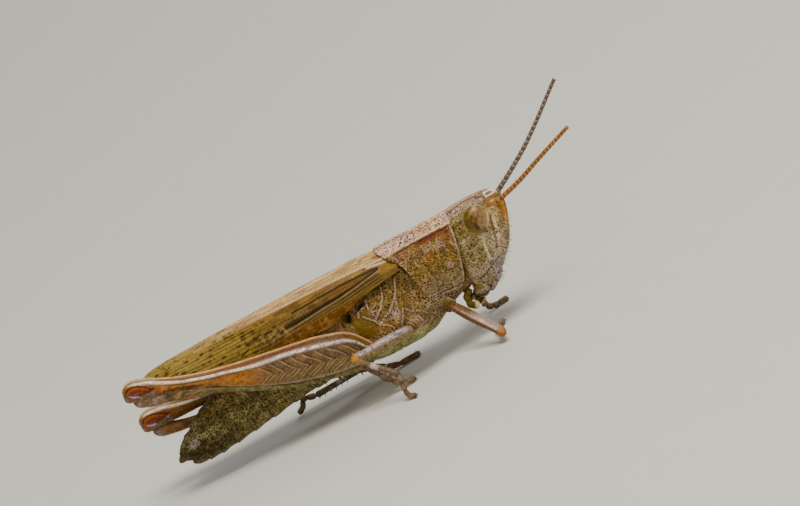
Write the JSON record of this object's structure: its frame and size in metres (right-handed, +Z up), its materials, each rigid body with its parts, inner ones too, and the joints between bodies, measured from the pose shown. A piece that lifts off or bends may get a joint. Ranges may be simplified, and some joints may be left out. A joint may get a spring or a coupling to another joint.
{
  "type": "grasshopper",
  "caption": "Life-size still model of a brown field grasshopper with folded wings and folded hind legs, standing on its feet.",
  "frame": {"origin": "middle of the underside of the bounding box, on the floor the feet stand on", "axes": "+X ahead past the head, +Y to the animal's left, +Z up"},
  "size_m": [0.0278, 0.0094, 0.0095],
  "materials": {
    "cuticle": "olive-brown pitted shell, satin",
    "pronotum": "ochre-brown pitted shell, satin",
    "wing": "leathery veined fore wing, satin",
    "abdomen": "dark olive-brown speckled shell, satin",
    "femur": "orange-brown and cream shell, smooth",
    "shank": "olive-brown bristly shell, satin",
    "eye": "olive-brown to mauve-brown, glossy",
    "antenna": "ringed brown, satin",
    "mouth": "olive-brown shell, satin"
  },
  "bodies": {
    "root": {"abdomen": "abdomen", "abdomen_tip": "abdomen", "antenna_left": "antenna", "antenna_right": "antenna", "cercus_left": "abdomen", "cercus_right": "abdomen", "eye_left": "eye", "eye_right": "eye", "fore_coxa_left": "cuticle", "fore_coxa_right": "cuticle", "fore_femur_left": "femur", "fore_femur_right": "femur", "fore_tarsus_left": "shank", "fore_tarsus_right": "shank", "fore_tibia_left": "shank", "fore_tibia_right": "shank", "head": "cuticle", "hind_coxa_left": "cuticle", "hind_coxa_right": "cuticle", "hind_femur_left": "femur", "hind_femur_right": "femur", "hind_tarsus_left": "shank", "hind_tarsus_right": "shank", "hind_tibia_left": "shank", "hind_tibia_right": "shank", "labial_palp_left": "mouth", "labial_palp_right": "mouth", "labrum": "mouth", "mandible_left": "mouth", "mandible_right": "mouth", "maxillary_palp_left": "mouth", "maxillary_palp_right": "mouth", "mid_coxa_left": "cuticle", "mid_coxa_right": "cuticle", "mid_femur_left": "femur", "mid_femur_right": "femur", "mid_tarsus_left": "shank", "mid_tarsus_right": "shank", "mid_tibia_left": "shank", "mid_tibia_right": "shank", "ovipositor_lower": "abdomen", "ovipositor_upper": "abdomen", "pronotum": "pronotum", "thorax": "cuticle", "wing_left": "wing", "wing_right": "wing"}
  },
  "joints": []
}
